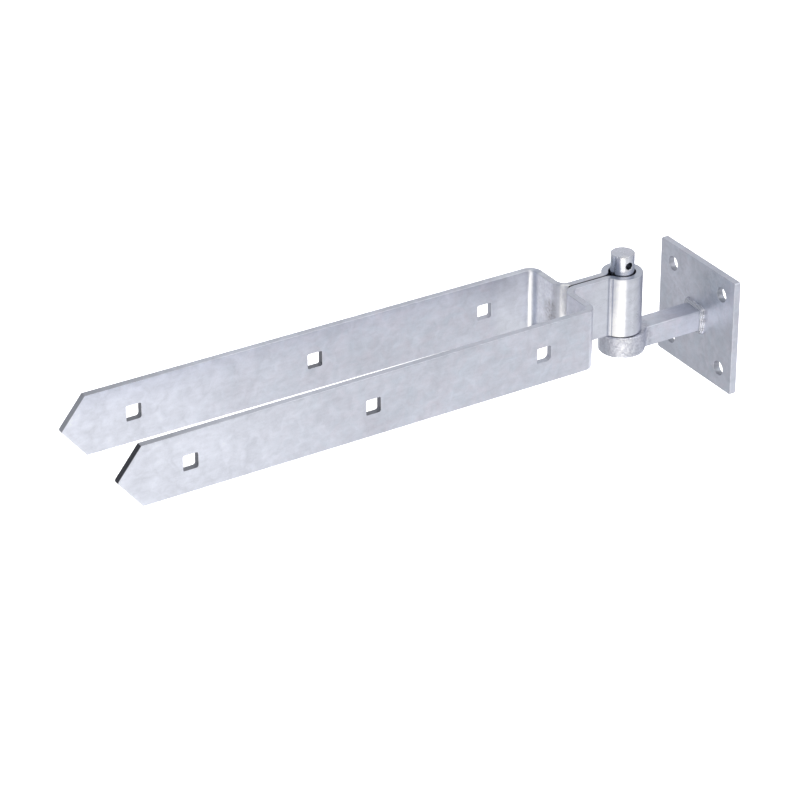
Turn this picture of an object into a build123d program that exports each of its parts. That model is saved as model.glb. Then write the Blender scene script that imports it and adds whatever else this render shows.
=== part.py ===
"""Hook and band hinge for a gate, in hot-dip galvanised steel, in millimetres.

The band is one flat bar folded back on itself: its middle is rolled into an eye, the two
plies lie together as a neck, and both are cranked out into straps that clasp the gate's rail.
The eye drops over the pin of a hook, a forged arm that is welded to a plate on the post.

The origin is the middle of the plate's back face. +X points into the post, +Z is up, and the
straps reach out along -X.
"""

import os
from math import atan2, degrees

from build123d import *

# Post plate
plate_side = 100.0
plate_thickness = 6.0
plate_corner = 1.5
plate_edge = 0.5
bolt_hole = 12.0
bolt_spacing = 66.0

# Forged arm with its boss
arm_width = 19.2
arm_height = 18.0
arm_edge = 1.0
boss_radius = 19.0
boss_offset = 1.5
boss_blend = 4.0
pin_from_post = 80.0

# Pin, shouldered on the boss and riveted over underneath
pin_diameter = 19.4
pin_rise = 16.3
pin_top_edge = 1.0
cotter_hole = 6.0
cotter_rise = 7.9
spigot_diameter = 15.0
rivet_depth = 3.0
rivet_flare = 2.0
rivet_crown = 0.8

# Flat bar of the band
bar_width = 50.8
bar_thickness = 5.8
bar_edge = 0.5

# Folds of the band, as radii of the hollow side of each bend
eye_clearance = 1.2
seat_clearance = 0.4
neck_gap = 1.0
eye_bend = 3.0
neck_bend = 7.0
shoulder_bend = 5.0

# Straps of the band, with reaches counted from the pin's axis
gate_gap = 78.2
strap_spread = 2.3
shoulder_reach = 53.4
strap_reach = 475.8
point_length = 20.5
point_radius = 2.5
square_hole = 12.7
square_hole_corner = 1.0
first_hole_reach = 103.5
second_hole_reach = 258.0
third_hole_reach = 415.0

# Fillet weld round the arm
weld_leg = 4.8
weld_toe = 0.5

# Levels and places that follow from the sizes above
arm_top = arm_height / 2
arm_bottom = -arm_height / 2
band_bottom = arm_top + seat_clearance
band_middle = band_bottom + bar_width / 2
band_top = band_bottom + bar_width
pin_top = band_top + pin_rise
pin_radius = pin_diameter / 2
pin_x = -pin_from_post
boss_x = pin_x + boss_offset
plate_front = -plate_thickness

pin_axis = Axis((pin_x, 0, 0), (0, 0, 1))
pin_plane = Plane(origin=(pin_x, 0, 0), x_dir=(1, 0, 0), z_dir=(0, -1, 0))

os.makedirs("parts", exist_ok=True)


def finish(part, name):
    """Label a finished piece and write its file."""
    part.label = name
    export_step(part, f"parts/{name}.step")
    print(f"{name}: {part.volume / 1000:.1f} cm3, valid {part.is_valid}")


# Post plate: sheared square with four bolt holes
with BuildPart() as post_plate:
    with BuildSketch(Plane.YZ.offset(plate_front)):
        Rectangle(plate_side, plate_side)
        with GridLocations(bolt_spacing, bolt_spacing, 2, 2):
            Circle(bolt_hole / 2, mode=Mode.SUBTRACT)
    extrude(amount=plate_thickness)
    corners = post_plate.edges().filter_by(Axis.X).filter_by(GeomType.LINE)
    fillet(corners, radius=plate_corner)
    outlines = post_plate.faces().filter_by(Axis.X)
    chamfer([face.outer_wire().edges() for face in outlines], length=plate_edge)

finish(post_plate.part, "post_plate")

# Riveted foot of the pin, from its crown up to the shoulder: the arm's hole has the same outline
spigot_radius = spigot_diameter / 2
rivet_radius = spigot_radius + rivet_flare
crown_radius = (rivet_radius**2 + rivet_crown**2) / (2 * rivet_crown)
crown_angle = degrees(2 * atan2(rivet_crown, rivet_radius))

with BuildSketch(pin_plane) as foot_outline:
    with BuildLine():
        crown = JernArc((0, arm_bottom - rivet_crown), (1, 0), crown_radius, crown_angle)
        Polyline(
            crown @ 1,
            (spigot_radius, arm_bottom + rivet_depth),
            (spigot_radius, arm_top),
            (0, arm_top),
            (0, arm_bottom - rivet_crown),
        )
    make_face()

# Forged arm: round boss blended into a square bar
with BuildPart() as hook_arm:
    with BuildSketch(Plane.XY.offset(arm_bottom)) as arm_plan:
        with Locations((boss_x, 0)):
            Circle(boss_radius)
        with Locations((plate_front, 0)):
            Rectangle(plate_front - boss_x, arm_width, align=(Align.MAX, Align.CENTER))
        corners = arm_plan.vertices()
        inner_corners = corners.filter_by_position(Axis.X, boss_x, plate_front, (False, False))
        fillet(inner_corners, radius=boss_blend)
    extrude(amount=arm_height)
    welded_end = hook_arm.faces().sort_by(Axis.X)[-1]
    outline = hook_arm.faces().filter_by(Axis.Z).edges() - welded_end.edges()
    fillet(outline, radius=arm_edge)
    revolve(foot_outline.sketch, axis=pin_axis, mode=Mode.SUBTRACT)

finish(hook_arm.part, "hook_arm")

# Pin: turned shank over the riveted foot, cross-drilled for a split cotter
with BuildPart() as pin:
    with BuildSketch(pin_plane) as shank_outline:
        with Locations((0, arm_top)):
            Rectangle(pin_radius, pin_top - arm_top, align=(Align.MIN, Align.MIN))
        top_corner = shank_outline.vertices().sort_by(Axis.Z)[-2:].sort_by(Axis.X)[-1]
        chamfer(top_corner, length=pin_top_edge)
    revolve(axis=pin_axis)
    revolve(foot_outline.sketch, axis=pin_axis)
    with BuildSketch(pin_plane):
        with Locations((0, band_top + cotter_rise)):
            Circle(cotter_hole / 2)
    extrude(amount=pin_diameter, both=True, mode=Mode.SUBTRACT)

finish(pin.part, "pin")

# Weld bead: mitred fillet all round the arm's end
bead_rise = weld_leg - weld_toe

with BuildPart() as weld_bead:
    with BuildSketch(Plane.YZ.offset(plate_front)):
        RectangleRounded(arm_width + 2 * weld_leg, arm_height + 2 * weld_leg, arm_edge + weld_leg)
    extrude(amount=-bead_rise, taper=45)
    with BuildSketch(Plane.YZ.offset(plate_front)):
        RectangleRounded(arm_width, arm_height, arm_edge)
    extrude(amount=-weld_leg, mode=Mode.SUBTRACT)

finish(weld_bead.part, "weld_bead")

# Band: centre line of one half of the bar, from the strap's end to the back of the eye
half_bar = bar_thickness / 2
eye_radius = pin_radius + eye_clearance + half_bar
neck_y = neck_gap / 2 + half_bar
strap_y = gate_gap / 2 + half_bar
wall_x = pin_x - shoulder_reach - half_bar
strap_end_x = pin_x - strap_reach - bar_thickness
strap_end_y = strap_y + strap_spread
neck_radius = neck_bend + half_bar
shoulder_radius = shoulder_bend + half_bar
throat_radius = eye_bend + half_bar

# The throat's arc touches the neck line and the eye's circle
throat_y = neck_y + throat_radius
throat_dx = (((eye_radius + throat_radius) ** 2) - throat_y**2) ** 0.5
throat_turn = degrees(atan2(throat_dx, throat_y))

with BuildPart() as band:
    with BuildSketch(Plane.XY.offset(band_bottom)) as bar_plan:
        with BuildLine():
            FilletPolyline(
                (strap_end_x, strap_end_y),
                (wall_x, strap_y),
                (wall_x, neck_y),
                (pin_x - throat_dx, neck_y),
                radius=[shoulder_radius, neck_radius],
            )
            throat = JernArc((pin_x - throat_dx, neck_y), (1, 0), throat_radius, throat_turn)
            JernArc(throat @ 1, throat % 1, eye_radius, -(90 + throat_turn))
            mirror(about=Plane.XZ)
        trace(line_width=bar_thickness)
    extrude(amount=bar_width)
    long_edges = band.faces().filter_by(Axis.Z).edges()
    chamfer(long_edges, length=bar_edge)
    # Both ends sheared to a point
    with BuildSketch(Plane.XZ) as side_view:
        with BuildLine():
            Polyline(
                (0, band_bottom - bar_width),
                (pin_x - strap_reach + point_length, band_bottom - bar_width),
                (pin_x - strap_reach + point_length, band_bottom),
                (pin_x - strap_reach, band_middle),
                (pin_x - strap_reach + point_length, band_top),
                (pin_x - strap_reach + point_length, band_top + bar_width),
                (0, band_top + bar_width),
                close=True,
            )
        make_face()
        point = side_view.vertices().sort_by(Axis.X)[0]
        fillet(point, radius=point_radius)
    extrude(amount=gate_gap + strap_spread + bar_width, both=True, mode=Mode.INTERSECT)
    # Square holes for coach bolts, through both straps
    with BuildSketch(Plane.XZ):
        for reach in (first_hole_reach, second_hole_reach, third_hole_reach):
            with Locations((pin_x - reach, band_middle)):
                RectangleRounded(square_hole, square_hole, square_hole_corner)
    extrude(amount=gate_gap + strap_spread, both=True, mode=Mode.SUBTRACT)

finish(band.part, "band")
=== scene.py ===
"""Looks of the hook and band gate hinge, in metres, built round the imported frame.

Every piece is hot-dip galvanised steel: rolled and sheared bar with rounded rims, a forged arm,
a turned pin, a rippled weld, and over them all a cloudy satin skin of zinc.
"""

import math
from dataclasses import dataclass

import bmesh
import bpy
import numpy as np
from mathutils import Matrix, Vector, geometry, noise


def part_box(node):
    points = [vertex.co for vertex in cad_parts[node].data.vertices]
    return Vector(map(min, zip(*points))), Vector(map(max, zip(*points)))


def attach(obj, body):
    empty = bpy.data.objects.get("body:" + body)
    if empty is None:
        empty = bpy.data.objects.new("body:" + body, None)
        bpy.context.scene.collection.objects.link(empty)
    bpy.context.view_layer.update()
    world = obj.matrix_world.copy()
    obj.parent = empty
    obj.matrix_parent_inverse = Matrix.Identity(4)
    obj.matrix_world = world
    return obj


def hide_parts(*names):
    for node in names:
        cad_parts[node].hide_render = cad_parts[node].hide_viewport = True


MM = 0.001

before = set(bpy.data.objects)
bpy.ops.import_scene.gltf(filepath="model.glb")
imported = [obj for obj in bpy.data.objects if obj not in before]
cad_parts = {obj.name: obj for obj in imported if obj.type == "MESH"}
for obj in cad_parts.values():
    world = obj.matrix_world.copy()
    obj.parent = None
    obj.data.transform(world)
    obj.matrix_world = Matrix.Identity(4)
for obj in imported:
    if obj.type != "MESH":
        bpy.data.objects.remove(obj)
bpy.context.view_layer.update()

# Sizes read from the frame
PLATE_LOW, PLATE_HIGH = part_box("post_plate")
ARM_LOW, ARM_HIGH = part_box("hook_arm")
PIN_LOW, PIN_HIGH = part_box("pin")
BEAD_LOW, BEAD_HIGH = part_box("weld_bead")
BAND_LOW, BAND_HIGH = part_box("band")
PIN_X = (PIN_LOW.x + PIN_HIGH.x) / 2
PIN_RADIUS = (PIN_HIGH.x - PIN_LOW.x) / 2
BAND_MIDDLE = (BAND_LOW.z + BAND_HIGH.z) / 2
BAR_WIDTH = BAND_HIGH.z - BAND_LOW.z

# Sizes of the folded bar, as in the part
BAR_THICKNESS = 5.8 * MM
GATE_GAP = 78.2 * MM
STRAP_SPREAD = 2.3 * MM
SHOULDER_REACH = 53.4 * MM
STRAP_REACH = 475.8 * MM
NECK_GAP = 1.0 * MM
EYE_CLEARANCE = 1.2 * MM
EYE_BEND = 3.0 * MM
NECK_BEND = 7.0 * MM
SHOULDER_BEND = 5.0 * MM
POINT_LENGTH = 20.5 * MM
POINT_RADIUS = 2.5 * MM
SQUARE_HOLE = 12.7 * MM
HOLE_REACHES = (103.5 * MM, 258.0 * MM, 415.0 * MM)

# Sizes of the post plate and the arm, as in the part
PLATE_CORNER = 1.5 * MM
BOLT_HOLE = 12.0 * MM
BOLT_SPACING = 66.0 * MM
ARM_WIDTH = 19.2 * MM
ARM_HEIGHT = 18.0 * MM
ARM_EDGE = 1.0 * MM
BOSS_RADIUS = 19.0 * MM
BOSS_X = ARM_LOW.x + BOSS_RADIUS

# Camera, fitted to the edges in the photograph, which is square
VIEW_TARGET = Vector((-0.28625, 0.0, 0.00369))
VIEW_TURN = math.radians(31.81)
VIEW_RISE = math.radians(28.87)
VIEW_DISTANCE = 2.8121
VIEW_LENS = 164.27
SENSOR_WIDTH = 36.0
CLIP_START = 0.1
CLIP_END = 60.0


def place_camera():
    """The photograph's own view of the hinge."""
    back = Vector((
        -math.sin(VIEW_TURN) * math.cos(VIEW_RISE),
        -math.cos(VIEW_TURN) * math.cos(VIEW_RISE),
        math.sin(VIEW_RISE),
    ))
    data = bpy.data.cameras.new("camera")
    data.lens = VIEW_LENS
    data.sensor_width = SENSOR_WIDTH
    data.clip_start = CLIP_START
    data.clip_end = CLIP_END
    camera = bpy.data.objects.new("camera", data)
    camera.location = VIEW_TARGET + back * VIEW_DISTANCE
    camera.rotation_mode = "QUATERNION"
    camera.rotation_quaternion = (-back).to_track_quat("-Z", "Y")
    bpy.context.scene.collection.objects.link(camera)
    bpy.context.scene.camera = camera


# Outlines on the flat, each a closed loop of points that runs anticlockwise


def rounded_loop(corners, radii, step):
    """A loop through the corners, each rounded to its radius, with points about a step apart."""
    corners = [np.array(corner, float) for corner in corners]
    arcs = []
    for index, corner in enumerate(corners):
        before = corners[index - 1] - corner
        after = corners[(index + 1) % len(corners)] - corner
        before /= np.linalg.norm(before)
        after /= np.linalg.norm(after)
        half = math.acos(np.clip(before @ after, -1, 1)) / 2
        radius = radii[index]
        start = corner + before * radius / math.tan(half)
        middle = before + after
        centre = corner + middle / np.linalg.norm(middle) * radius / math.sin(half)
        turn = math.pi - 2 * half
        count = max(1, math.ceil(turn * radius / step))
        spoke = start - centre
        arc = []
        for angle in np.linspace(0, turn, count + 1):
            c, s = math.cos(angle), math.sin(angle)
            arc.append(centre + np.array((spoke[0] * c - spoke[1] * s, spoke[0] * s + spoke[1] * c)))
        arcs.append(arc if radius > 0 else [corner])
    points = []
    for index, arc in enumerate(arcs):
        points.extend(arc)
        following = arcs[(index + 1) % len(arcs)][0]
        length = np.linalg.norm(following - arc[-1])
        count = max(1, round(length / step))
        points.extend(arc[-1] + (following - arc[-1]) * share for share in np.arange(1, count) / count)
    return np.array(points)


def rectangle_loop(centre, width, height, radii, step):
    """A rounded rectangle, its radii given from the lower left corner round."""
    x, y = centre
    w, h = width / 2, height / 2
    corners = [(x - w, y - h), (x + w, y - h), (x + w, y + h), (x - w, y + h)]
    return rounded_loop(corners, radii, step)


def circle_loop(centre, radius, step):
    """A circle."""
    count = math.ceil(math.tau * radius / step)
    angles = np.arange(count) * math.tau / count
    return np.stack((centre[0] + radius * np.cos(angles), centre[1] + radius * np.sin(angles)), 1)


def grown(loop, distance):
    """The loop moved outward by a distance, with mitred corners."""
    ahead = np.roll(loop, -1, 0) - loop
    ahead /= np.linalg.norm(ahead, axis=1)[:, None]
    behind = np.roll(ahead, 1, 0)
    first = np.stack((ahead[:, 1], -ahead[:, 0]), 1)
    second = np.stack((behind[:, 1], -behind[:, 0]), 1)
    mitre = (first + second) / (1 + (first * second).sum(1))[:, None]
    return loop + mitre * distance


def inside(points, loop):
    """Which of the points lie inside the loop."""
    x, y = points[:, 0, None], points[:, 1, None]
    x1, y1 = loop[None, :, 0], loop[None, :, 1]
    x2, y2 = np.roll(x1, -1, 1), np.roll(y1, -1, 1)
    crosses = (y1 > y) != (y2 > y)
    slope = np.where(crosses, (x2 - x1) / np.where(y2 == y1, 1, y2 - y1), 0)
    return ((crosses & (x < x1 + (y - y1) * slope)).sum(1) % 2).astype(bool)


# Sheets of steel with rounded rims, made flat and then folded

RIM_STEPS = 3
# Share of a cell that stays clear between a rim and the nearest grid point
GRID_CLEARANCE = 0.4
FLAT_TOLERANCE = 1e-9
MERGE_DISTANCE = 1e-7


def sheet_mesh(outline, holes, us, vs, thickness, edge, hole_edge):
    """A flat sheet as arrays of points (along, across, through) and faces.

    Grid points at the us and vs keep its two faces fine enough to fold and to carry relief.
    The outline's rim is rounded by edge and the holes' rims by hole_edge.
    """
    margin = edge + GRID_CLEARANCE * np.diff(vs).min()
    grid = np.stack(np.meshgrid(us, vs, indexing="ij"), -1).reshape(-1, 2)
    keep = inside(grid, grown(outline, -margin))
    for hole in holes:
        near = np.abs(grid - hole.mean(0)).max(1) < np.ptp(hole, 0).max()
        near[near] = inside(grid[near], grown(hole, margin))
        keep &= ~near
    loops = [(outline, -edge)] + [(hole, hole_edge) for hole in holes]
    rings = [grown(loop, inset) for loop, inset in loops]
    starts = np.cumsum([0] + [len(ring) for ring in rings])
    flat = np.concatenate(rings + [grid[keep]])
    edges = []
    for start, ring in zip(starts, rings):
        edges += [(start + i, start + (i + 1) % len(ring)) for i in range(len(ring))]
    corners = [Vector(p) for p in flat]
    filled = geometry.delaunay_2d_cdt(corners, edges, [], 0, FLAT_TOLERANCE)
    found, triangles, sources = filled[0], filled[2], filled[3]
    place = {source: index for index, group in enumerate(sources) for source in group}
    found = np.array([tuple(p) for p in found])
    triangles = np.array(triangles)
    middles = found[triangles].mean(1)
    keep = inside(middles, rings[0])
    for ring in rings[1:]:
        near = np.abs(middles - ring.mean(0)).max(1) < np.ptp(ring, 0).max()
        near[near] = inside(middles[near], ring)
        keep &= ~near
    triangles = triangles[keep]

    half = thickness / 2
    count = len(found)
    level = np.full((count, 1), half)
    points = [np.hstack((found, level)), np.hstack((found, -level))]
    faces = [tuple(t) for t in triangles] + [tuple(t[::-1] + count) for t in triangles]
    total = 2 * count
    quarter = np.linspace(0, math.pi / 2, RIM_STEPS + 1)[1:]
    for (loop, inset), start in zip(loops, starts):
        size = len(loop)
        radius = abs(inset)
        down = [(inset * (1 - math.sin(a)), half - radius * (1 - math.cos(a))) for a in quarter]
        walls = [(0, (half - radius) * share) for share in (0.5, 0, -0.5)]
        up = [(shift, -depth) for shift, depth in reversed(down)]
        top = np.array([place[start + i] for i in range(size)])
        rows = [top]
        for shift, depth in down + walls + up:
            points.append(np.hstack((grown(loop, shift), np.full((size, 1), depth))))
            rows.append(np.arange(total, total + size))
            total += size
        rows.append(top + count)
        # The last row of the far rim is the far face's own ring
        for upper, lower in zip(rows, rows[1:]):
            for i in range(size):
                j = (i + 1) % size
                faces.append((upper[i], upper[j], lower[j], lower[i]))
    return np.concatenate(points), faces


def new_piece(name, points, faces):
    """A smooth-shaded object with outward faces."""
    mesh = bpy.data.meshes.new(name)
    mesh.from_pydata([tuple(p) for p in points], [], [tuple(int(i) for i in f) for f in faces])
    work = bmesh.new()
    work.from_mesh(mesh)
    bmesh.ops.remove_doubles(work, verts=work.verts, dist=MERGE_DISTANCE)
    bmesh.ops.recalc_face_normals(work, faces=work.faces)
    work.to_mesh(mesh)
    work.free()
    mesh.shade_smooth()
    piece = bpy.data.objects.new(name, mesh)
    bpy.context.scene.collection.objects.link(piece)
    return piece


# Centre line of the folded bar, from the rear strap's tip round the eye to the front strap's


def band_path():
    """The bar's runs and turns as (length, turn), with the start point and its heading."""
    half = BAR_THICKNESS / 2
    eye = PIN_RADIUS + EYE_CLEARANCE + half
    throat = EYE_BEND + half
    neck = NECK_BEND + half
    shoulder = SHOULDER_BEND + half
    neck_y = NECK_GAP / 2 + half
    strap_y = GATE_GAP / 2 + half
    wall_x = PIN_X - SHOULDER_REACH - half
    # The part's bar starts one thickness beyond its cut tip, where its spread is measured
    far = Vector((PIN_X - STRAP_REACH - BAR_THICKNESS, strap_y + STRAP_SPREAD))
    corner = Vector((wall_x, strap_y))
    lean = math.atan2(far.y - corner.y, corner.x - far.x)
    tip = far + (corner - far).normalized() * BAR_THICKNESS / math.cos(lean)
    throat_x = math.sqrt((eye + throat) ** 2 - (neck_y + throat) ** 2)
    throat_turn = math.atan2(throat_x, neck_y + throat)
    shoulder_turn = math.pi / 2 - lean
    shoulder_cut = shoulder * math.tan(shoulder_turn / 2)
    runs = [
        ((corner - tip).length - shoulder_cut, 0),
        (shoulder * shoulder_turn, -shoulder_turn),
        (strap_y - neck_y - shoulder_cut - neck, 0),
        (neck * math.pi / 2, math.pi / 2),
        (PIN_X - throat_x - wall_x - neck, 0),
        (throat * throat_turn, throat_turn),
    ]
    eye_turn = math.pi + 2 * throat_turn
    runs = runs + [(eye * eye_turn, -eye_turn)] + runs[::-1]
    return tip, -lean, runs


def folded(points, start, heading, runs):
    """Flat points (along, across, through) carried onto the path, the across axis turned upright."""
    along = points[:, 0]
    placed = np.zeros_like(points)
    here = np.array(start, float)
    reached = 0.0
    for index, (length, turn) in enumerate(runs):
        # The first and the last run also take what lies beyond their ends
        chosen = along < reached + length
        if index == len(runs) - 1:
            chosen[:] = True
        if index > 0:
            chosen &= along >= reached
        gone = along[chosen] - reached
        ahead = np.array((math.cos(heading), math.sin(heading)))
        side = np.array((-ahead[1], ahead[0]))
        if turn:
            radius = length / turn
            angle = gone / radius
            carried = here + np.outer(radius * np.sin(angle), ahead)
            carried += np.outer(radius * (1 - np.cos(angle)), side)
            normal = np.outer(np.cos(angle), side) - np.outer(np.sin(angle), ahead)
            here = here + ahead * radius * math.sin(turn) + side * radius * (1 - math.cos(turn))
        else:
            carried = here + np.outer(gone, ahead)
            normal = np.tile(side, (len(gone), 1))
            here = here + ahead * length
        placed[chosen, :2] = carried + normal * points[chosen, 2, None]
        heading += turn
        reached += length
    placed[:, 2] = BAND_MIDDLE + points[:, 1]
    return placed


# Relief: soft lumps of zinc and scale, always sunk into the surface, never raised from it

SEED_SHIFT = Vector((17.3, 5.1, 9.7))
FRACTAL_INCREMENT = 0.8
LACUNARITY = 2.0


def clouds(points, size, octaves, seed):
    """Smooth noise from about -1 to 1 at each point, its largest lumps about one size across."""
    values = []
    for point in points:
        place = Vector(point) / size + SEED_SHIFT * seed
        values.append(noise.fractal(place, FRACTAL_INCREMENT, LACUNARITY, octaves))
    return np.array(values)


def lumps(points, size, octaves, seed):
    """The clouds' noise spread over 0 to 1."""
    return (0.5 + 0.5 * clouds(points, size, octaves, seed)).clip(0, 1)


def vertex_array(mesh, attribute):
    """The points or normals of the mesh's vertices as an array."""
    values = np.empty(len(mesh.vertices) * 3)
    mesh.vertices.foreach_get(attribute, values)
    return values.reshape(-1, 3)


def sink(piece, depth, low, high):
    """Sinks each vertex by its depth, and keeps it inside the box of the solid it stands for."""
    points = vertex_array(piece.data, "co") - vertex_array(piece.data, "normal") * depth[:, None]
    piece.data.vertices.foreach_set("co", np.clip(points, low, high).ravel())
    piece.data.update()


def eased(value, start, end):
    """Rises smoothly from 0 at the start to 1 at the end."""
    share = np.clip((value - start) / (end - start), 0, 1)
    return share * share * (3 - 2 * share)


# How far large faces outweigh small ones, where 50 is even
FACE_WEIGHT = 60


def even_faced(piece):
    """Lets large flat faces set the shading, so that only the rims look round."""
    weighted = piece.modifiers.new("even_faces", "WEIGHTED_NORMAL")
    weighted.mode = "FACE_AREA_WITH_ANGLE"
    weighted.weight = FACE_WEIGHT


def paint_shade(piece, domain, values):
    """Marks where painted shade darkens the piece's zinc, from 0 to 1 at each point or on each face.
    """
    marks = piece.data.attributes.new("dark", "FLOAT", domain)
    marks.data.foreach_set("value", np.asarray(values, float))


def face_array(mesh, attribute):
    """The middles or normals of the mesh's faces as an array."""
    values = np.empty(len(mesh.polygons) * 3)
    mesh.polygons.foreach_get(attribute, values)
    return values.reshape(-1, 3)


BAND_EDGE = 0.55 * MM
BAND_CELL = 2.2 * MM
BEND_CELL = 1.1 * MM
HOLE_CELL = 0.7 * MM
SQUARE_HOLE_EDGE = 0.3 * MM
SHEAR_CORNER = 0.3 * MM
BAND_RELIEF = 0.05 * MM

# Zinc that set in the corners of the square holes, as corner radii in millimetres: from the lower
# pin-side corner round on the front strap, and from the lower tip-side corner round on the rear one
FRONT_HOLE_ZINC = ((3.8, 1.0, 1.0, 1.2), (1.8, 1.0, 1.2, 1.0), (2.0, 1.0, 1.0, 1.6))
REAR_HOLE_ZINC = ((1.0, 1.2, 1.6, 1.0), (1.6, 1.2, 1.0, 1.2), (1.0, 2.2, 1.0, 1.0))

# How dark the painted shade makes each kind of face, from 0 to 1, and the holes in order from the pin
FRONT_TIP_DARK = 0.95
REAR_TIP_DARK = 0.5
HOLE_SHADE = (0.05, 0.65, 0.7)
PLY_SHADE = 0.8
TOP_SHADE = 0.45
RIM_SHADE = 0.7

# The top and its rims take painted shade over this share of the straps, counted from the tips
DARK_RUN = 0.35
# Parts of a face's normal that tell walls, tops and rims apart
WALL_TILT = 0.5
TOP_TILT = 0.9
RIM_TILT = 0.3
# How far beyond a hole's outline its walls are looked for
HOLE_MARGIN = 0.1 * MM


def painted_shade_faces(mesh):
    """How much painted shade each face takes: a painted dark reflection on the sheared tips, painted
    shade on the tops and rolled edges near them, in the holes and between the closed plies.
    """
    x, y, z = face_array(mesh, "center").T
    across, up = np.abs(face_array(mesh, "normal")[:, 1:]).T
    wall = across < WALL_TILT
    top = up > TOP_TILT
    rim = (up > RIM_TILT) & ~top
    # Painted shade on the tops and rims, fading out from the tips
    near_tip = 1 - eased(x, PIN_X - STRAP_REACH, PIN_X - (1 - DARK_RUN) * STRAP_REACH)
    dark = (TOP_SHADE * top + RIM_SHADE * rim) * near_tip
    # The sheared tip faces take a painted dark reflection, darkest on the front strap
    tip = wall & (x < PIN_X - STRAP_REACH + POINT_LENGTH)
    dark[tip] = np.where(y[tip] < 0, FRONT_TIP_DARK, REAR_TIP_DARK)
    # Painted shade on the walls of the square holes
    half_hole = SQUARE_HOLE / 2 + HOLE_MARGIN
    for reach, darkness in zip(HOLE_REACHES, HOLE_SHADE):
        near = np.maximum(np.abs(x - PIN_X + reach), np.abs(z - BAND_MIDDLE)) < half_hole
        dark[wall & near & (np.abs(y) > GATE_GAP / 2)] = darkness
    # Painted shade on the facing sides of the two closed plies in the neck
    dark[(across > WALL_TILT) & (np.abs(y) < NECK_GAP) & (x < PIN_X - PIN_RADIUS)] = PLY_SHADE
    return dark


def band_piece():
    """The band: a pointed blank with its square holes, folded into eye, neck and straps."""
    start, heading, runs = band_path()
    total = sum(length for length, _ in runs)
    half = BAR_WIDTH / 2
    corners = [
        (0, 0), (POINT_LENGTH, -half), (total - POINT_LENGTH, -half),
        (total, 0), (total - POINT_LENGTH, half), (POINT_LENGTH, half),
    ]
    outline = rounded_loop(corners, [POINT_RADIUS, SHEAR_CORNER, SHEAR_CORNER] * 2, BEND_CELL)
    holes = []
    for reach, front, rear in zip(HOLE_REACHES, FRONT_HOLE_ZINC, REAR_HOLE_ZINC):
        along = STRAP_REACH - reach
        for place, zinc in ((total - along, front), (along, rear)):
            radii = [radius * MM for radius in zinc]
            holes.append(rectangle_loop((place, 0), SQUARE_HOLE, SQUARE_HOLE, radii, HOLE_CELL))
    us = []
    reached = 0.0
    for length, turn in runs:
        cell = BEND_CELL if turn else BAND_CELL
        count = math.ceil(length / cell)
        us += list(reached + np.arange(count) * length / count)
        reached += length
    us = np.array(us[1:])
    vs = np.linspace(-half, half, round(BAR_WIDTH / BAND_CELL) + 1)[1:-1]
    points, faces = sheet_mesh(outline, holes, us, vs, BAR_THICKNESS, BAND_EDGE, SQUARE_HOLE_EDGE)
    piece = new_piece("band_bar", folded(points, start, heading, runs), faces)
    points = vertex_array(piece.data, "co")
    depth = BAND_RELIEF * lumps(points, size=14 * MM, octaves=3, seed=1)
    sink(piece, depth, BAND_LOW, BAND_HIGH)
    paint_shade(piece, "FACE", painted_shade_faces(piece.data))
    even_faced(piece)
    return piece


PLATE_EDGE = 0.5 * MM
BOLT_HOLE_EDGE = 0.4 * MM
PLATE_CELL = 1.7 * MM
PLATE_RELIEF = 0.12 * MM
# Painted shade on the bolt holes' walls, from 0 to 1
BOLT_HOLE_SHADE = 0.35


def plate_piece():
    """The post plate: sheared square with rolled rims and four bolt holes."""
    side = PLATE_HIGH.y - PLATE_LOW.y
    outline = rectangle_loop((0, 0), side, side, [PLATE_CORNER] * 4, PLATE_CELL)
    holes = []
    for across in (-BOLT_SPACING / 2, BOLT_SPACING / 2):
        for up in (-BOLT_SPACING / 2, BOLT_SPACING / 2):
            holes.append(circle_loop((across, up), BOLT_HOLE / 2, HOLE_CELL))
    cells = np.linspace(-side / 2, side / 2, round(side / PLATE_CELL) + 1)[1:-1]
    thickness = PLATE_HIGH.x - PLATE_LOW.x
    flat, faces = sheet_mesh(outline, holes, cells, cells, thickness, PLATE_EDGE, BOLT_HOLE_EDGE)
    middle = (PLATE_LOW.x + PLATE_HIGH.x) / 2
    points = np.stack((middle - flat[:, 2], flat[:, 0], flat[:, 1]), 1)
    piece = new_piece("plate_sheet", points, faces)
    points = vertex_array(piece.data, "co")
    depth = PLATE_RELIEF * lumps(points, size=16 * MM, octaves=4, seed=2)
    sink(piece, depth, PLATE_LOW, PLATE_HIGH)
    # Painted shade on the walls of the bolt holes
    middles = face_array(piece.data, "center")
    from_hole = np.hypot(*(np.abs(middles[:, 1:]) - BOLT_SPACING / 2).T)
    within = from_hole < BOLT_HOLE / 2 + HOLE_MARGIN
    wall = np.abs(face_array(piece.data, "normal")[:, 0]) < WALL_TILT
    paint_shade(piece, "FACE", BOLT_HOLE_SHADE * (within & wall))
    even_faced(piece)
    return piece


def reskinned(node, name, cell, easing):
    """A copy of a solid with an even skin of small faces and softened edges."""
    copy = bpy.data.objects.new(name + "_blank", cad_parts[node].data.copy())
    bpy.context.scene.collection.objects.link(copy)
    skin = copy.modifiers.new("skin", "REMESH")
    skin.mode = "VOXEL"
    skin.voxel_size = cell
    soften = copy.modifiers.new("soften", "SMOOTH")
    soften.iterations = easing
    evaluated = copy.evaluated_get(bpy.context.evaluated_depsgraph_get())
    mesh = bpy.data.meshes.new_from_object(evaluated)
    mesh.name = name
    mesh.shade_smooth()
    bpy.data.objects.remove(copy)
    piece = bpy.data.objects.new(name, mesh)
    bpy.context.scene.collection.objects.link(piece)
    return piece


ARM_CELL = 0.6 * MM
ARM_WAVES = 0.12 * MM
BOSS_LUMPS = 0.16 * MM
BOSS_GRAIN = 0.10 * MM
# The boss's lumps fade out over this length of the arm
BOSS_FADE = 5 * MM


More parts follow.
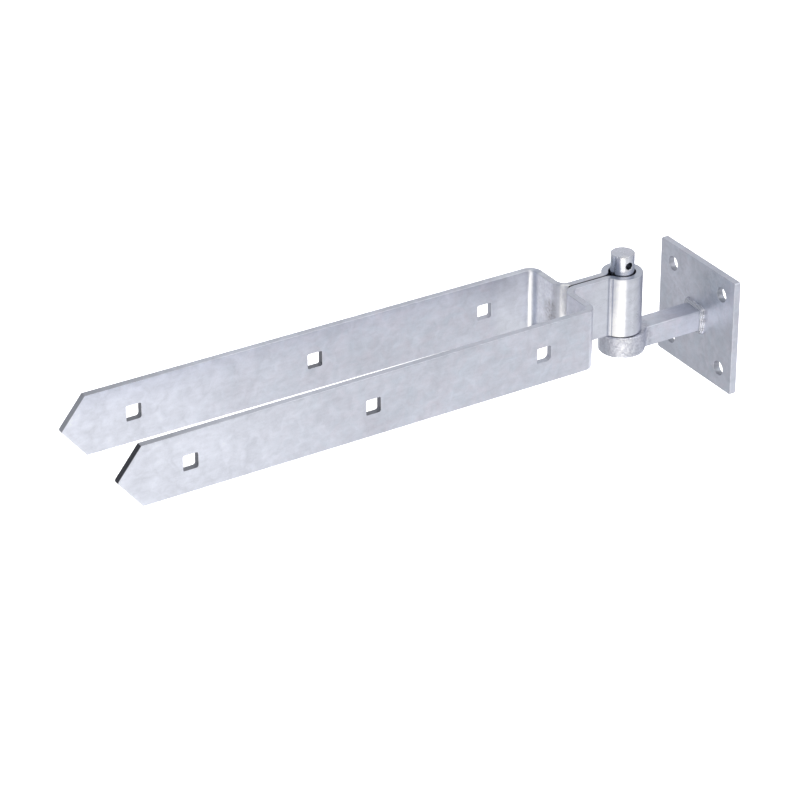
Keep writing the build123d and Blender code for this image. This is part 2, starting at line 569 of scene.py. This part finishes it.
def arm_piece():
    """The forged arm: wavy bar, and a boss with lumps of scale under its zinc."""
    piece = reskinned("hook_arm", "forged_arm", ARM_CELL, easing=4)
    points = vertex_array(piece.data, "co")
    from_boss = np.hypot(points[:, 0] - BOSS_X, points[:, 1])
    on_boss = 1 - eased(from_boss, BOSS_RADIUS, BOSS_RADIUS + BOSS_FADE)
    scale = BOSS_LUMPS * lumps(points, size=4 * MM, octaves=2, seed=3)
    scale += BOSS_GRAIN * lumps(points, size=1.6 * MM, octaves=2, seed=4)
    waves = ARM_WAVES * lumps(points, size=12 * MM, octaves=2, seed=5)
    sink(piece, on_boss * scale + (1 - on_boss) * waves, ARM_LOW, ARM_HIGH)
    return piece


PIN_CELL = 0.35 * MM
PIN_WAVES = 0.05 * MM
NICK_TURN = math.radians(213)
NICK_DROP = 0.5 * MM
NICK_RADIUS = 1.6 * MM
NICK_DEPTH = 0.5 * MM
COTTER_HOLE = 6.0 * MM
COTTER_RISE = 7.9 * MM
# Painted shade inside the cotter hole, from 0 to 1
COTTER_SHADE = 0.6
# What lies this far beyond the cotter hole and under the shank's skin counts as drilled, and takes
# painted shade
COTTER_MARGIN = 0.2 * MM
SHANK_SKIN = 0.4 * MM


def pin_piece():
    """The pin: turned shank, bevelled top with one nick, cross-drilled for a cotter."""
    piece = reskinned("pin", "turned_pin", PIN_CELL, easing=3)
    points = vertex_array(piece.data, "co")
    nick = np.array((
        PIN_X + PIN_RADIUS * math.cos(NICK_TURN),
        PIN_RADIUS * math.sin(NICK_TURN),
        PIN_HIGH.z - NICK_DROP,
    ))
    away = np.linalg.norm(points - nick, axis=1)
    depth = PIN_WAVES * lumps(points, size=7 * MM, octaves=3, seed=6)
    depth += NICK_DEPTH * (1 - eased(away, 0, NICK_RADIUS))
    sink(piece, depth, PIN_LOW, PIN_HIGH)
    from_cotter = np.hypot(points[:, 0] - PIN_X, points[:, 2] - BAND_HIGH.z - COTTER_RISE)
    from_axis = np.hypot(points[:, 0] - PIN_X, points[:, 1])
    within = from_cotter < COTTER_HOLE / 2 + COTTER_MARGIN
    under_skin = from_axis < PIN_RADIUS - SHANK_SKIN
    paint_shade(piece, "POINT", COTTER_SHADE * (within & under_skin))
    return piece


BEAD_STEP = 0.3 * MM
BEAD_ROWS = 20
BEAD_LEG = 4.8 * MM
BEAD_BULGE = 1.2 * MM
BEAD_SINK = 0.1 * MM
# Power that rounds the bulge's profile, and the share of it that goes each way on the slope
BEAD_ROUNDING = 0.8
BEAD_SLOPE = 0.7
# Shares of its legs that the fillet fills on the plate and on the arm, and how far they wander
BEAD_TOE = 0.78
BEAD_HEEL = 0.82
BEAD_WANDER = 0.12

RIPPLE_PITCH = 12.0 * MM
RIPPLE_HEIGHT = 0.6 * MM
# Painted shade in the creases between the drops, from 0 to 1
RIPPLE_SHADE = 0.35
# Shifts of the drops in pitches: bowed at mid height, leaning over to the toe, and by chance
RIPPLE_BOW = 0.3
RIPPLE_LEAN = 2.9
RIPPLE_CHANCE = 0.3
# Power that makes each drop steep behind and flat ahead
RIPPLE_SKEW = 0.6


def bead_piece():
    """The weld: a fillet of overlapping drops, carried all round the arm and closed on itself."""
    loop = rectangle_loop((0, 0), ARM_WIDTH, ARM_HEIGHT, [ARM_EDGE] * 4, BEAD_STEP)
    steps = np.linalg.norm(np.roll(loop, -1, 0) - loop, axis=1)
    girth = steps.sum()
    run = np.cumsum(steps) - steps[0]
    drops = round(girth / RIPPLE_PITCH)
    turn = run / girth * math.tau
    # The noise is taken round a circle of radius 1, so that the weld closes on itself
    ring = np.stack((np.cos(turn), np.sin(turn), np.zeros(len(turn))), 1)
    toe = BEAD_TOE + BEAD_WANDER * clouds(ring, size=0.25, octaves=3, seed=7)
    heel = BEAD_HEEL + BEAD_WANDER * clouds(ring, size=0.2, octaves=3, seed=8)
    uneven = RIPPLE_CHANCE * clouds(ring, size=0.3, octaves=2, seed=9)
    high_leg = PLATE_LOW.x - BEAD_LOW.x
    rows = []
    creases = []
    for share in np.linspace(0, 1, BEAD_ROWS):
        bow = RIPPLE_BOW * math.sin(math.pi * share) + RIPPLE_LEAN * share
        phase = (run / girth * drops + bow + uneven) % 1
        drop = np.sin(math.pi * phase ** RIPPLE_SKEW)
        bulge = BEAD_BULGE - RIPPLE_HEIGHT + RIPPLE_HEIGHT * drop
        swell = BEAD_SLOPE * bulge * math.sin(math.pi * share) ** BEAD_ROUNDING
        off = share * BEAD_LEG * toe + swell
        rise = (1 - share) * high_leg * heel + swell
        around = grown(loop, off[:, None])
        rows.append(np.column_stack((PLATE_LOW.x - rise, around)))
        # Painted shade, deepest in each crease between drops
        creases.append(RIPPLE_SHADE * (1 - drop))
    toe_ring = rows[-1] + np.array((BEAD_SINK, 0, 0))
    root_ring = np.column_stack((np.full(len(loop), PLATE_LOW.x + BEAD_SINK), grown(loop, -BEAD_SINK)))
    heel_ring = np.column_stack((rows[0][:, 0], grown(loop, -BEAD_SINK)))
    rows += [toe_ring, root_ring, heel_ring]
    creases += [np.zeros(len(loop))] * 3
    size = len(loop)
    faces = []
    for row in range(len(rows)):
        below = (row + 1) % len(rows)
        for i in range(size):
            j = (i + 1) % size
            faces.append((row * size + i, row * size + j, below * size + j, below * size + i))
    points = np.clip(np.concatenate(rows), BEAD_LOW, BEAD_HIGH + Vector((BEAD_SINK, 0, 0)))
    piece = new_piece("weld_drops", points, faces)
    paint_shade(piece, "POINT", np.concatenate(creases))
    return piece


# Materials: hot-dip zinc, cloudy and satin, each piece with its own tone and drift


def add(tree, kind, inputs=None, **settings):
    """Adds a node; an input is a value, or another node's output that is linked to it."""
    made = tree.nodes.new(kind)
    for name, value in settings.items():
        setattr(made, name, value)
    for name, value in (inputs or {}).items():
        if isinstance(value, bpy.types.NodeSocket):
            tree.links.new(value, made.inputs[name])
        else:
            made.inputs[name].default_value = value
    return made


def arithmetic(tree, operation, first, second, third=0.0):
    """One sum on values or outputs."""
    return add(tree, "ShaderNodeMath", {0: first, 1: second, 2: third}, operation=operation).outputs[0]


def mixed(tree, share, first, second):
    """The first colour, turning into the second as the share rises to 1."""
    inputs = {0: share, 6: first, 7: second}
    return add(tree, "ShaderNodeMix", inputs, data_type="RGBA").outputs[2]


def tinted(tone, factors):
    """The tone with each channel times its factor, opaque."""
    return (*(channel * factor for channel, factor in zip(tone, factors)), 1)


# The middle range of a noise texture's values, which is spread over 0 to 1
NOISE_RANGE = (0.25, 0.75)


def mottle(tree, place, size, detail, distortion=0.0):
    """Noise spread over 0 to 1, its largest lumps about one size across."""
    inputs = {"Vector": place, "Scale": 1 / size, "Detail": detail, "Distortion": distortion}
    noise_out = add(tree, "ShaderNodeTexNoise", inputs).outputs["Fac"]
    inputs = {0: noise_out, 1: NOISE_RANGE[0], 2: NOISE_RANGE[1], 3: 0.0, 4: 1.0}
    return add(tree, "ShaderNodeMapRange", inputs).outputs[0]


def stretched(tree, place, turn, factors):
    """The place turned, then scaled, so that noise on it turns into streaks."""
    turned = add(tree, "ShaderNodeMapping", {"Vector": place, "Rotation": turn}).outputs["Vector"]
    return add(tree, "ShaderNodeMapping", {"Vector": turned, "Scale": factors}).outputs["Vector"]


def weighted(tree, base, parts):
    """The base plus each part's distance from one half, times its weight."""
    total = base - sum(weight for _, weight in parts) / 2
    for value, weight in parts:
        total = arithmetic(tree, "MULTIPLY_ADD", value, weight, total)
    return total


@dataclass
class Spot:
    """A place where the zinc differs, or a painted highlight, painted light or painted shade: how far
    it reaches, its tint, gloss and coarseness.

    A tall spot runs up the whole piece, and its centre's height is 0. The tint of a patchy one
    shows only in lumps.
    """

    centre: tuple
    core: float
    reach: float
    tint: tuple = (1.0, 1.0, 1.0)
    patchy: bool = False
    rougher: float = 0.0
    coarse: float = 0.0
    tall: bool = False


def nearness(tree, place, spot):
    """1 inside the spot's core, falling to 0 at its reach."""
    if spot.tall:
        flat = add(tree, "ShaderNodeVectorMath", {0: place, 1: (1, 1, 0)}, operation="MULTIPLY")
        place = flat.outputs["Vector"]
    away = add(tree, "ShaderNodeVectorMath", {0: place, 1: spot.centre}, operation="DISTANCE")
    inputs = {0: away.outputs["Value"], 1: spot.core, 2: spot.reach, 3: 1.0, 4: 0.0}
    return add(tree, "ShaderNodeMapRange", inputs, interpolation_type="SMOOTHSTEP").outputs[0]


@dataclass
class Zinc:
    """How one piece's zinc looks; the mottling weights are shares of its brightness."""

    tone: tuple
    roughness: float
    cloud: float
    patch: float
    streak: float
    grain: float
    streak_turn: tuple = (0.0, 0.0, 0.0)
    streak_scale: tuple = (1.0, 1.0, 0.15)
    relief: float = 0.8
    # Whether the mesh's marks of painted shade darken this zinc
    dark: bool = True
    spots: tuple = ()


# Tones of the zinc, and a tint for painted highlights that lifts them to the brightest that metal can
# be
TONE = (0.672, 0.688, 0.75)
PLATE_TONE = (0.70, 0.72, 0.785)
FORGED_TONE = (0.74, 0.757, 0.825)
HIGHLIGHT_TINT = (1.45, 1.42, 1.33)


def at(x, y, z=0):
    """A place given in millimetres."""
    return (x * MM, y * MM, z * MM)


# Places where the zinc differs, and painted highlights, painted light and painted shade, each with its
# centre, core, reach and tint
# Painted light: the straps brighter towards their tips
PAINTED_STRAP_END_LIGHT = Spot((PIN_X - STRAP_REACH, 0, 0), 50 * MM, 260 * MM, (1.24, 1.24, 1.24), tall=True)
EYE_SHINE = Spot((PIN_X, 0, BAND_MIDDLE), 31 * MM, 42 * MM, rougher=-0.10)
# Painted highlight on the eye's front
EYE_HIGHLIGHT = Spot(at(-91.5, -12), 5 * MM, 7 * MM, HIGHLIGHT_TINT, rougher=0.16, tall=True)
RING_SHADE = Spot((PIN_X, 0, BAND_HIGH.z), 15.5 * MM, 17 * MM, (0.86, 0.88, 0.91))
THROAT_SHADE = Spot(at(-96.4, -6.5), 0.5 * MM, 1.9 * MM, (0.58, 0.6, 0.65), tall=True)
# Painted shade: a thin dark line where the throat meets the eye
THROAT_SHADE_LINE = Spot(at(-94.4, -8.4), 0.2 * MM, 0.9 * MM, (0.82, 0.84, 0.88), tall=True)
# Painted sheen: the rear strap brighter near the shoulder
PAINTED_SHOULDER_SHEEN = Spot(at(-158, 39), 9 * MM, 19 * MM, (1.14, 1.14, 1.13), tall=True)
# Painted highlight on the shoulder's bend
SHOULDER_HIGHLIGHT = Spot(at(-140.7, 37.6), 1 * MM, 3.3 * MM, HIGHLIGHT_TINT, rougher=-0.1, tall=True)
# Lumps of scale on the jog wall, with a painted sheen that brightens it in flecks
JOG_SCALE_AND_SHEEN = Spot(
    at(-139, 24), 10 * MM, 17 * MM, (1.2, 1.2, 1.16), patchy=True, coarse=2.5, tall=True
)
JOG_SHADE = Spot(at(-138, 35), 1 * MM, 6 * MM, (0.75, 0.78, 0.84), tall=True)
JOG_STAIN = Spot(at(-138.5, 12, 35), 6 * MM, 13 * MM, (0.62, 0.60, 0.58), patchy=True)
NECK_SHADE = Spot(at(-136.3, 5.2), 1.5 * MM, 4 * MM, (0.8, 0.81, 0.84), tall=True)
# Painted highlight on the neck's bend, over coarse lumps
NECK_HIGHLIGHT = Spot(
    at(-132.6, 1.9), 2.8 * MM, 5.2 * MM, HIGHLIGHT_TINT, rougher=0.03, coarse=2.5, tall=True
)
PLATE_SHADE = Spot(at(-6, -25, 34), 6 * MM, 30 * MM, (0.8, 0.84, 0.88), patchy=True)
PLATE_BLOTCHES = Spot(at(-6, 22, 22), 14 * MM, 30 * MM, (1.12, 1.1, 1.12), patchy=True)
ARM_SHADE = Spot(at(-12, 0, 9), 6 * MM, 22 * MM, (0.9, 0.91, 0.93))
# Painted highlight on the boss
BOSS_HIGHLIGHT = Spot(at(-86.5, -17.2), 3 * MM, 11 * MM, (1.2, 1.18, 1.13), tall=True)
BOSS_PITS = Spot(
    (BOSS_X, 0, 0), 22 * MM, 27 * MM, (0.7, 0.7, 0.73), patchy=True, rougher=0.02, coarse=1.6
)
# Painted highlight down the pin's front
PIN_HIGHLIGHT = Spot(at(-84.1, -8.8), 2 * MM, 5 * MM, (1.12, 1.1, 1.06), tall=True)
PIN_SHADE = Spot((PIN_X - PIN_RADIUS, 0, 65 * MM), 6 * MM, 11.5 * MM, (0.62, 0.66, 0.72))

ZINC = {
    "band_zinc": Zinc(
        TONE, roughness=0.40, cloud=0.20, patch=0.12, streak=0.07, grain=0.06,
        streak_scale=(0.2, 1, 1), relief=0.35,
        spots=(
            PAINTED_STRAP_END_LIGHT, EYE_SHINE, EYE_HIGHLIGHT, PAINTED_SHOULDER_SHEEN, SHOULDER_HIGHLIGHT, JOG_SCALE_AND_SHEEN, JOG_SHADE,
            JOG_STAIN, NECK_SHADE, NECK_HIGHLIGHT, THROAT_SHADE, THROAT_SHADE_LINE, RING_SHADE,
        ),
    ),
    "plate_zinc": Zinc(
        PLATE_TONE, roughness=0.44, cloud=0.20, patch=0.12, streak=0.03, grain=0.07,
        streak_turn=(0.9, 0, 0), streak_scale=(1, 1, 0.2), spots=(PLATE_SHADE, PLATE_BLOTCHES),
    ),
    "forged_zinc": Zinc(
        FORGED_TONE, roughness=0.40, cloud=0.14, patch=0.10, streak=0.10, grain=0.08,
        streak_scale=(0.15, 1, 1), dark=False, spots=(ARM_SHADE, BOSS_HIGHLIGHT, BOSS_PITS),
    ),
    "pin_zinc": Zinc(
        TONE, roughness=0.26, cloud=0.12, patch=0.06, streak=0.06, grain=0.12,
        relief=0.6, spots=(PIN_HIGHLIGHT, PIN_SHADE),
    ),
    "weld_zinc": Zinc(TONE, roughness=0.26, cloud=0.10, patch=0.06, streak=0.04, grain=0.06),
}

# The colour that painted shade turns the zinc towards
PAINTED_SHADE_COLOUR = (0.05, 0.05, 0.06, 1)

# How far the tone drifts either way
COOLER = (0.97, 1.0, 1.015)
WARMER = (1.025, 0.99, 1.0)

# Weights of the mottling: in the colour of every piece, in the gloss and in the height
FLAKE = 0.03
GLOSS_CLOUD = 0.06
GLOSS_GRAIN = 0.04
HEIGHT_CLOUD = 0.30
HEIGHT_STREAK = 0.05
HEIGHT_GRAIN = 0.03
RELIEF_DISTANCE = 0.25 * MM


def galvanised(name, zinc):
    """The procedural zinc: clouds, patches, streaks, grain and faint flakes over satin metal, with the
    spots' tints, painted highlights and painted shade among them.
    """
    material = bpy.data.materials.new(name)
    material.use_nodes = True
    tree = material.node_tree
    shader = tree.nodes["Principled BSDF"]
    shader.inputs["Metallic"].default_value = 1.0
    place = add(tree, "ShaderNodeTexCoord").outputs["Object"]
    along = stretched(tree, place, zinc.streak_turn, zinc.streak_scale)
    cloud = mottle(tree, place, size=9 * MM, detail=4, distortion=0.8)
    patch = mottle(tree, place, size=30 * MM, detail=2, distortion=0.5)
    streak = mottle(tree, along, size=2.6 * MM, detail=3)
    grain = mottle(tree, place, size=1.0 * MM, detail=2)
    drift = mottle(tree, place, size=14 * MM, detail=3, distortion=1.2)
    coarse = mottle(tree, place, size=2.2 * MM, detail=2, distortion=0.4)
    cells = add(tree, "ShaderNodeTexVoronoi", {"Vector": place, "Scale": 1 / (3.5 * MM)})
    flake = add(tree, "ShaderNodeSeparateColor", {"Color": cells.outputs["Color"]}).outputs["Red"]
    parts = [
        (cloud, zinc.cloud),
        (patch, zinc.patch),
        (streak, zinc.streak),
        (grain, zinc.grain),
        (flake, FLAKE),
    ]
    shade = weighted(tree, 1.0, parts)
    hue = mixed(tree, drift, tinted(zinc.tone, COOLER), tinted(zinc.tone, WARMER))
    gloss = weighted(tree, zinc.roughness, [(cloud, GLOSS_CLOUD), (grain, GLOSS_GRAIN)])
    parts = [(cloud, HEIGHT_CLOUD), (streak, HEIGHT_STREAK), (grain, HEIGHT_GRAIN)]
    height = weighted(tree, 0.0, parts)
    # Each spot tints the colour: some are real stains, scale and blotches, others painted highlights,
    # painted light and painted shade
    for spot in zinc.spots:
        near = nearness(tree, place, spot)
        share = arithmetic(tree, "MULTIPLY", near, coarse) if spot.patchy else near
        hue = mixed(tree, share, hue, tinted(zinc.tone, spot.tint))
        gloss = arithmetic(tree, "MULTIPLY_ADD", near, spot.rougher, gloss)
        if spot.coarse:
            rise = arithmetic(tree, "MULTIPLY", near, coarse)
            height = arithmetic(tree, "MULTIPLY_ADD", rise, spot.coarse, height)
    shaded = add(tree, "ShaderNodeVectorMath", {0: hue, "Scale": shade}, operation="SCALE")
    colour = shaded.outputs["Vector"]
    # The mesh's marks of painted shade turn the colour towards the shade colour
    if zinc.dark:
        marks = add(tree, "ShaderNodeAttribute", attribute_name="dark").outputs["Fac"]
        colour = mixed(tree, marks, colour, PAINTED_SHADE_COLOUR)
    tree.links.new(colour, shader.inputs["Base Color"])
    tree.links.new(gloss, shader.inputs["Roughness"])
    inputs = {"Strength": zinc.relief, "Distance": RELIEF_DISTANCE, "Height": height}
    relief = add(tree, "ShaderNodeBump", inputs)
    tree.links.new(relief.outputs["Normal"], shader.inputs["Normal"])
    return material


def dress(piece, material):
    """Gives the piece one material."""
    piece.data.materials.clear()
    piece.data.materials.append(material)


def stand_for(piece, node, body, slot):
    """Puts the piece in place of a solid, on the solid's body and with its own zinc."""
    dress(piece, galvanised(slot, ZINC[slot]))
    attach(piece, body)
    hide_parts(node)


# The floor below the plate and the wall that it curves up into
FLOOR_DROP = 0.25
FLOOR_HUB = 0.01
FLOOR_RADIUS = 5.0
COVE_RADIUS = 1.5
COVE_STEPS = 8
COVE_HEIGHT = 6.0
FLOOR_SIDES = 48
FLOOR_COLOUR = (0.8, 0.8, 0.8, 1)
FLOOR_ROUGHNESS = 0.9
FLOOR_GLOW = 0.9


def studio_floor():
    """A pale round floor that curves up into a wall, which only the camera sees."""
    profile = [(FLOOR_HUB, 0.0), (FLOOR_RADIUS, 0.0)]
    for angle in np.linspace(0, math.pi / 2, COVE_STEPS + 1)[1:]:
        radius = FLOOR_RADIUS + COVE_RADIUS * math.sin(angle)
        profile.append((radius, COVE_RADIUS * (1 - math.cos(angle))))
    profile.append((FLOOR_RADIUS + COVE_RADIUS, COVE_HEIGHT))
    points = []
    for radius, height in profile:
        for turn in np.arange(FLOOR_SIDES) * math.tau / FLOOR_SIDES:
            points.append((radius * math.cos(turn), radius * math.sin(turn), height))
    faces = [tuple(range(FLOOR_SIDES))]
    for row in range(len(profile) - 1):
        inner = row * FLOOR_SIDES
        outer = inner + FLOOR_SIDES
        for i in range(FLOOR_SIDES):
            j = (i + 1) % FLOOR_SIDES
            faces.append((inner + i, inner + j, outer + j, outer + i))
    floor = new_piece("floor", points, faces)
    floor.location.z = PLATE_LOW.z - FLOOR_DROP
    floor.visible_glossy = False
    floor.visible_shadow = False
    pale = bpy.data.materials.new("pale_floor")
    pale.use_nodes = True
    shader = pale.node_tree.nodes["Principled BSDF"]
    shader.inputs["Base Color"].default_value = FLOOR_COLOUR
    shader.inputs["Roughness"].default_value = FLOOR_ROUGHNESS
    shader.inputs["Emission Color"].default_value = (1, 1, 1, 1)
    shader.inputs["Emission Strength"].default_value = FLOOR_GLOW
    pale.cycles.emission_sampling = "NONE"
    dress(floor, pale)


WORLD_GLOW = 0.545
WORLD_COLOUR = (0.97, 0.99, 1.03, 1)
WARM = (1.06, 1.0, 0.9)
WHITE = (1.0, 1.0, 1.0)

# Soft boxes round the hinge: name, turn and rise in degrees seen from it, width and height in
# metres, glow and colour
SOFT_BOXES = (
    ("left_front_strip", 210, -30, 1.41, 0.5, 1.00, WARM),
    ("front_strip", 247.5, -30, 0.91, 0.5, 1.65, WARM),
    ("right_front_strip", 285, -30, 1.41, 0.5, 0.49, WHITE),
    ("right_strip", 330, -30, 1.41, 0.5, 0.33, WHITE),
    ("right_behind_strip", 15, -30, 1.41, 0.5, 1.20, WHITE),
    ("behind_strip", 60, -30, 1.41, 0.5, 0.95, WHITE),
    ("under_left", 240, -62, 0.9, 0.9, 1.57, WHITE),
    ("under_right", 300, -62, 0.9, 0.9, 0.79, WHITE),
    ("right_level", 330, 5, 0.9, 0.9, 0.68, WHITE),
    ("front_above_left", 240, 35, 0.9, 0.9, 1.39, WARM),
    ("front_above", 270, 35, 0.9, 0.9, 0.70, WARM),
    ("front_above_right", 300, 35, 0.9, 0.9, 0.53, WHITE),
    ("high_right", 300, 62, 0.9, 0.9, 0.84, WHITE),
    ("rim_light", 318, 47, 0.6, 0.6, 1.5, WHITE),
    ("behind_above_right", 60, 35, 0.9, 0.9, 0.23, WHITE),
)
LIGHT_DISTANCE = 1.7
LIGHT_AIM = Vector((-0.25, 0, 0))


def soft_box(name, turn, rise, width, height, glow, colour):
    """A rectangular light that faces the hinge and doesn't show in the picture."""
    turn = math.radians(turn)
    rise = math.radians(rise)
    away = Vector((math.cos(turn) * math.cos(rise), math.sin(turn) * math.cos(rise), math.sin(rise)))
    data = bpy.data.lights.new(name, "AREA")
    data.shape = "RECTANGLE"
    data.size = width
    data.size_y = height
    data.energy = glow * math.pi * width * height
    data.color = colour
    lamp = bpy.data.objects.new(name, data)
    lamp.location = LIGHT_AIM + away * LIGHT_DISTANCE
    lamp.rotation_mode = "QUATERNION"
    lamp.rotation_quaternion = (-away).to_track_quat("-Z", "Y")
    lamp.visible_camera = False
    bpy.context.scene.collection.objects.link(lamp)


def studio():
    """Pale floor, an even grey surround and soft boxes."""
    scene = bpy.context.scene
    scene.view_settings.view_transform = "Standard"
    world = bpy.data.worlds.new("studio")
    world.use_nodes = True
    surround = world.node_tree.nodes["Background"]
    surround.inputs["Color"].default_value = WORLD_COLOUR
    surround.inputs["Strength"].default_value = WORLD_GLOW
    scene.world = world
    studio_floor()
    for box in SOFT_BOXES:
        soft_box(*box)


place_camera()
stand_for(band_piece(), "band", "band", "band_zinc")
stand_for(plate_piece(), "post_plate", "hook", "plate_zinc")
stand_for(arm_piece(), "hook_arm", "hook", "forged_zinc")
stand_for(pin_piece(), "pin", "hook", "pin_zinc")
stand_for(bead_piece(), "weld_bead", "hook", "weld_zinc")
studio()
